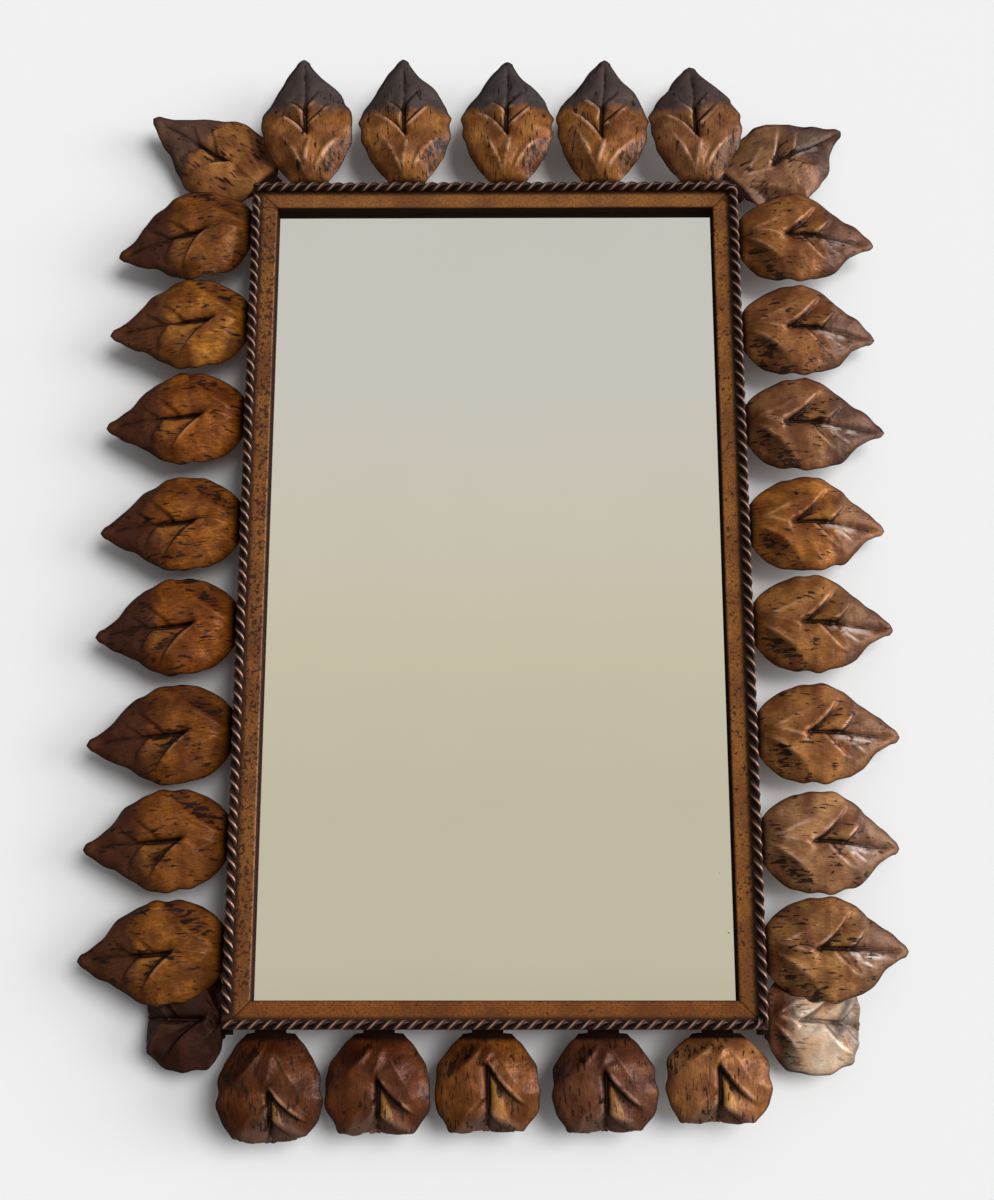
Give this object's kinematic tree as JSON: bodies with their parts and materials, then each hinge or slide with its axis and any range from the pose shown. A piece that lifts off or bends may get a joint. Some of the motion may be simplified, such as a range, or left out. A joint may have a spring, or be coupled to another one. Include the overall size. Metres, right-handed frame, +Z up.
{
  "type": "leaf framed wall mirror",
  "caption": "Upright rectangular wall mirror in a flat iron frame with a twisted wire border, ringed by domed, veined sheet metal leaves, with a hanging plate at the back.",
  "frame": {"origin": "middle of the hanging hole, on the plane of the frame's back, which lies against the wall", "axes": "+X right and +Z up as seen by a person in front of the mirror, +Y back into the wall, -Y towards the person"},
  "size_m": [0.4885, 0.0342, 0.6811],
  "materials": {
    "rail_copper": "copper brown patina with dark specks, half gloss",
    "dark_wire": "dark brown, rubbed copper bright on the crests",
    "mirror": "polished, silvered at the back",
    "board": "brown hardboard, matt",
    "dark_iron": "dark brown, satin",
    "leaf_copper": "golden copper lacquer with dark streaks, half gloss"
  },
  "bodies": {
    "root": {"rail_top": "rail_copper", "rail_bottom": "rail_copper", "rail_left": "rail_copper", "rail_right": "rail_copper", "wire_top": "dark_wire", "wire_bottom": "dark_wire", "wire_left": "dark_wire", "wire_right": "dark_wire", "mirror_glass": "mirror", "backing_board": "board", "tray_top": "dark_iron", "tray_bottom": "dark_iron", "tray_left": "dark_iron", "tray_right": "dark_iron", "board_clips": "dark_iron", "hanging_plate": "dark_iron", "leaf_top_1": "leaf_copper", "leaf_top_2": "leaf_copper", "leaf_top_3": "leaf_copper", "leaf_top_4": "leaf_copper", "leaf_top_5": "leaf_copper", "leaf_bottom_1": "leaf_copper", "leaf_bottom_2": "leaf_copper", "leaf_bottom_3": "leaf_copper", "leaf_bottom_4": "leaf_copper", "leaf_bottom_5": "leaf_copper", "leaf_left_1": "leaf_copper", "leaf_left_2": "leaf_copper", "leaf_left_3": "leaf_copper", "leaf_left_4": "leaf_copper", "leaf_left_5": "leaf_copper", "leaf_left_6": "leaf_copper", "leaf_left_7": "leaf_copper", "leaf_left_8": "leaf_copper", "leaf_right_1": "leaf_copper", "leaf_right_2": "leaf_copper", "leaf_right_3": "leaf_copper", "leaf_right_4": "leaf_copper", "leaf_right_5": "leaf_copper", "leaf_right_6": "leaf_copper", "leaf_right_7": "leaf_copper", "leaf_right_8": "leaf_copper", "leaf_corner_top_left": "leaf_copper", "leaf_corner_top_right": "leaf_copper", "leaf_corner_bottom_left": "leaf_copper", "leaf_corner_bottom_right": "leaf_copper"}
  },
  "joints": []
}
